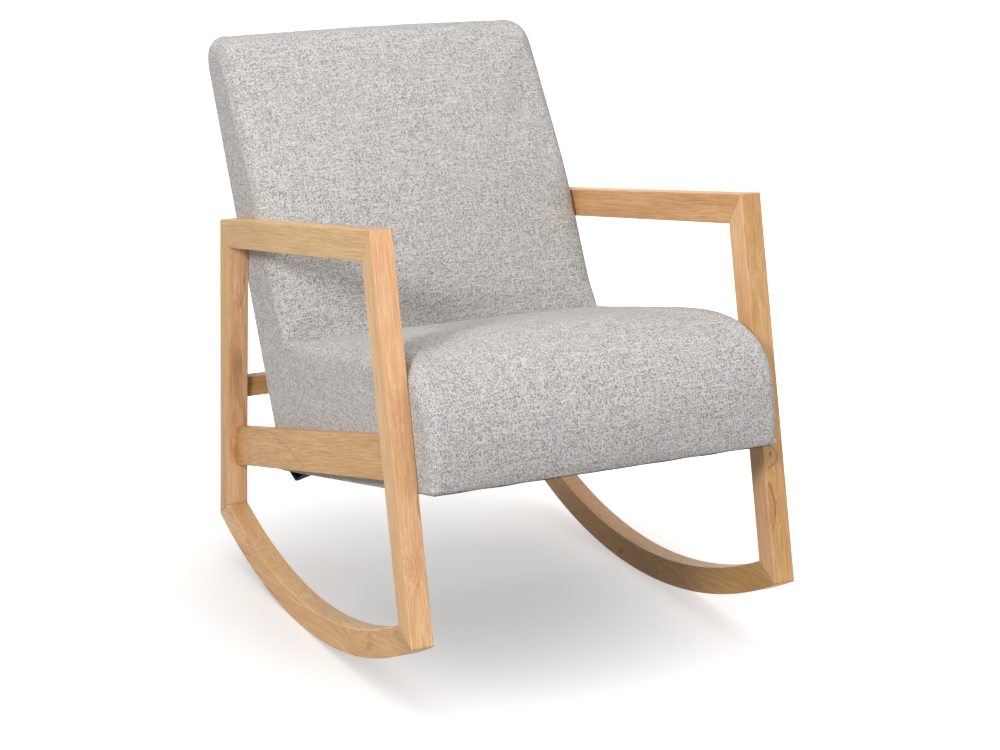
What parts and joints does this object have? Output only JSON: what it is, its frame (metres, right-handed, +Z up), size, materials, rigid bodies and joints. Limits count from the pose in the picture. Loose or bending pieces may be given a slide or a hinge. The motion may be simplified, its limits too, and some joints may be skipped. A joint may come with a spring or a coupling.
{
  "type": "rocking chair",
  "caption": "Rocking armchair: two mitred wooden side frames on curved runners carry a thick upholstered seat and a reclined upholstered back.",
  "frame": {"origin": "on the floor, midway between the two side frames, under the middle of the chair's depth", "axes": "+Z up; the chair faces -Y, so +Y points rearwards; +X is the sitter's left"},
  "size_m": [0.66, 0.9451, 0.91],
  "materials": {
    "frame_timber": "satin clear lacquer over straight-grained pale hardwood",
    "dowel_timber": "plain turned hardwood",
    "box_timber": "sawn softwood",
    "cover_fabric": "heathered slub weave",
    "panel_fabric": "heathered slub weave",
    "lining": "thin black non-woven cloth",
    "felt": "needled felt",
    "foam": "open-cell foam",
    "webbing": "woven elastic strap",
    "spring_steel": "drawn wire",
    "zinc_steel": "zinc plated"
  },
  "bodies": {
    "root": {"left_arm_rail": "frame_timber", "right_arm_rail": "frame_timber", "left_front_leg": "frame_timber", "right_front_leg": "frame_timber", "left_rear_leg": "frame_timber", "right_rear_leg": "frame_timber", "left_rocker": "frame_timber", "right_rocker": "frame_timber", "left_seat_rail": "frame_timber", "right_seat_rail": "frame_timber", "rear_stretcher": "frame_timber", "left_frame_dowels": "dowel_timber", "right_frame_dowels": "dowel_timber", "stretcher_dowels": "dowel_timber", "back_frame_dowels": "dowel_timber", "seat_front_board": "box_timber", "seat_rear_board": "box_timber", "left_seat_board": "box_timber", "right_seat_board": "box_timber", "seat_corner_blocks": "box_timber", "left_back_post": "box_timber", "right_back_post": "box_timber", "back_top_rail": "box_timber", "back_lumbar_rail": "box_timber", "back_bottom_rail": "box_timber", "seat_springs": "spring_steel", "spring_clips": "zinc_steel", "spring_felt": "felt", "seat_foam": "foam", "seat_cover": "cover_fabric", "dust_cover": "lining", "back_webbing": "webbing", "back_foam": "foam", "back_cover": "cover_fabric", "back_panel": "panel_fabric", "seat_bolts": "zinc_steel", "seat_bolt_washers": "zinc_steel", "threaded_inserts": "zinc_steel", "back_bolts": "zinc_steel", "back_bolt_washers": "zinc_steel", "back_bolt_nuts": "zinc_steel"}
  },
  "joints": []
}
